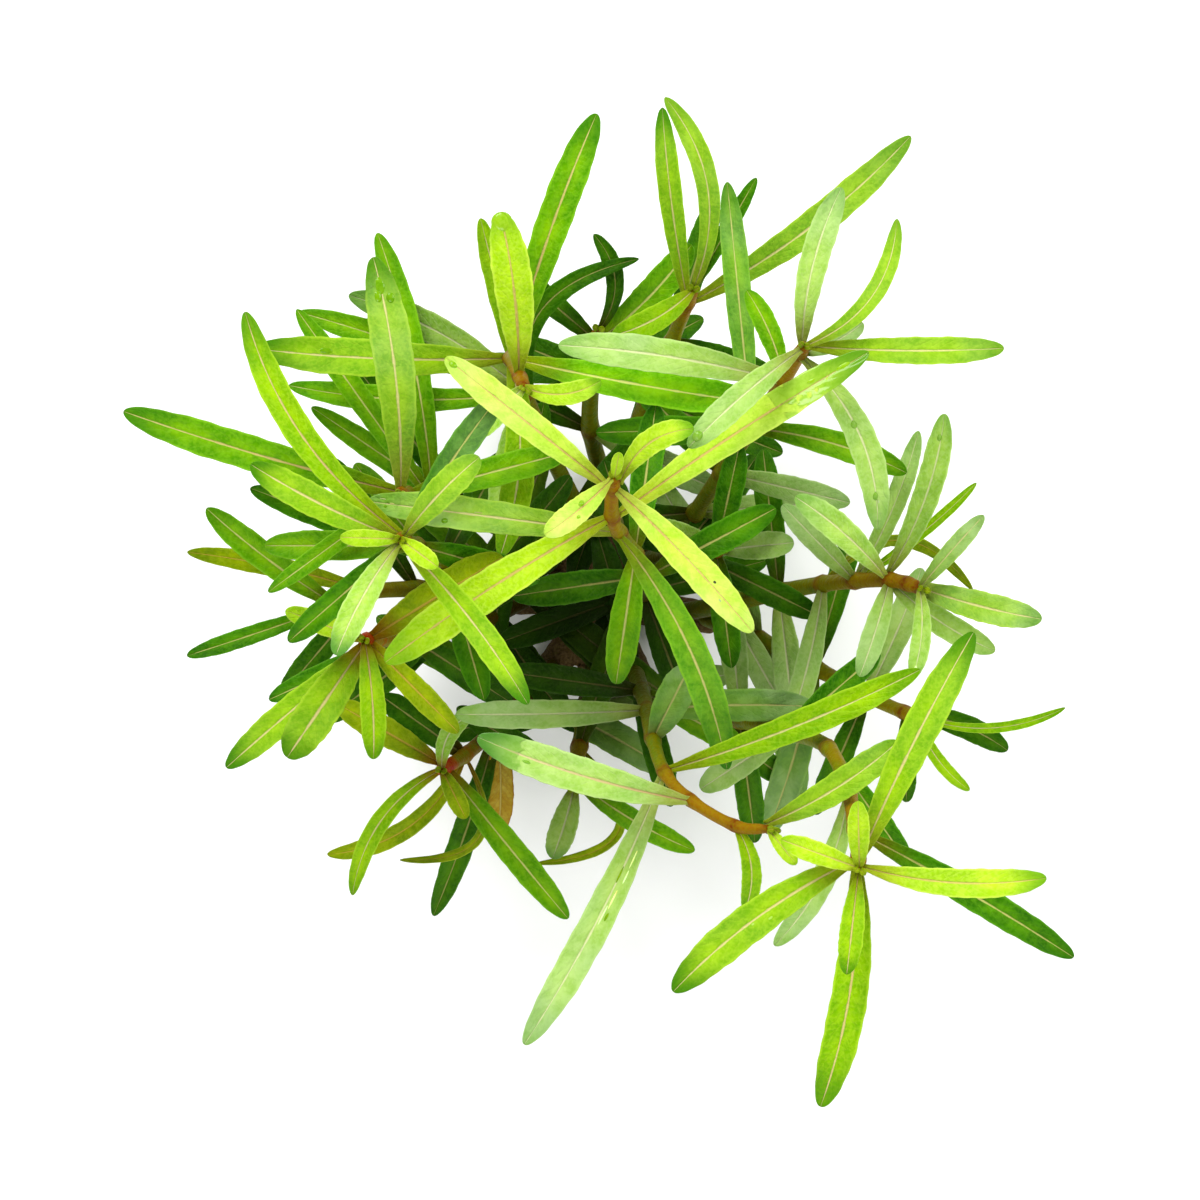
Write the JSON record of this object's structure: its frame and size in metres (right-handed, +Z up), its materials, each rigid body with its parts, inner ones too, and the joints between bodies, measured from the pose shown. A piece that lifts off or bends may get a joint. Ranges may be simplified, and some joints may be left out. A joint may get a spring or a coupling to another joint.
{
  "type": "rotala",
  "caption": "Free-standing clump of a narrow-leaved rotala: leafy stems splaying from a short creeping stock, with paired strap-shaped green leaves.",
  "frame": {"origin": "middle of the flat cut under the creeping stock, on the ground", "axes": "+Z up; +Y away from the viewer, to the top of the picture; +X to the right of the picture"},
  "size_m": [0.1193, 0.1267, 0.0881],
  "materials": {
    "stock": "matte",
    "stem": "matte",
    "young": "satin",
    "green": "satin",
    "pale": "satin",
    "lime": "satin",
    "dark": "satin",
    "olive": "satin"
  },
  "bodies": {
    "root": {"stock": "stock", "stem_centre": "stem", "leaf_centre_1": "young", "leaf_centre_2": "young", "leaf_centre_3": "young", "leaf_centre_4": "young", "leaf_centre_5": "young", "leaf_centre_6": "young", "leaf_centre_7": "green", "leaf_centre_8": "pale", "stem_left": "stem", "leaf_left_1": "lime", "leaf_left_2": "lime", "leaf_left_3": "lime", "leaf_left_4": "pale", "leaf_left_5": "dark", "leaf_left_6": "lime", "stem_far_left_upper": "stem", "leaf_far_left_upper_1": "lime", "leaf_far_left_upper_2": "green", "stem_far_left_lower": "stem", "stem_left_red": "stem", "leaf_left_red_1": "pale", "leaf_left_red_2": "olive", "leaf_left_red_3": "lime", "stem_lower_left_red": "stem", "leaf_lower_left_red_1": "olive", "stem_upper_left": "stem", "leaf_upper_left_1": "young", "leaf_upper_left_2": "lime", "leaf_upper_left_3": "green", "leaf_upper_left_4": "green", "stem_upper_right": "stem", "leaf_upper_right_1": "pale", "leaf_upper_right_2": "pale", "leaf_upper_right_3": "lime", "leaf_upper_right_4": "pale", "leaf_upper_right_5": "pale", "stem_inner_right": "stem", "stem_top": "stem", "leaf_top_1": "lime", "stem_top_low": "stem", "stem_lower_right_bent": "stem", "leaf_lower_right_bent_1": "lime", "leaf_lower_right_bent_2": "pale", "leaf_lower_right_bent_3": "lime", "leaf_lower_right_bent_4": "pale", "stem_lower_right": "stem", "leaf_lower_right_1": "lime", "leaf_lower_right_2": "lime", "leaf_lower_right_3": "young", "leaf_lower_right_4": "lime", "leaf_lower_right_5": "lime", "leaf_lower_right_6": "dark", "stem_right": "stem", "leaf_right_1": "pale", "leaf_right_2": "pale", "leaf_right_3": "lime", "stem_right_low": "stem", "stem_bottom_low": "stem"}
  },
  "joints": []
}
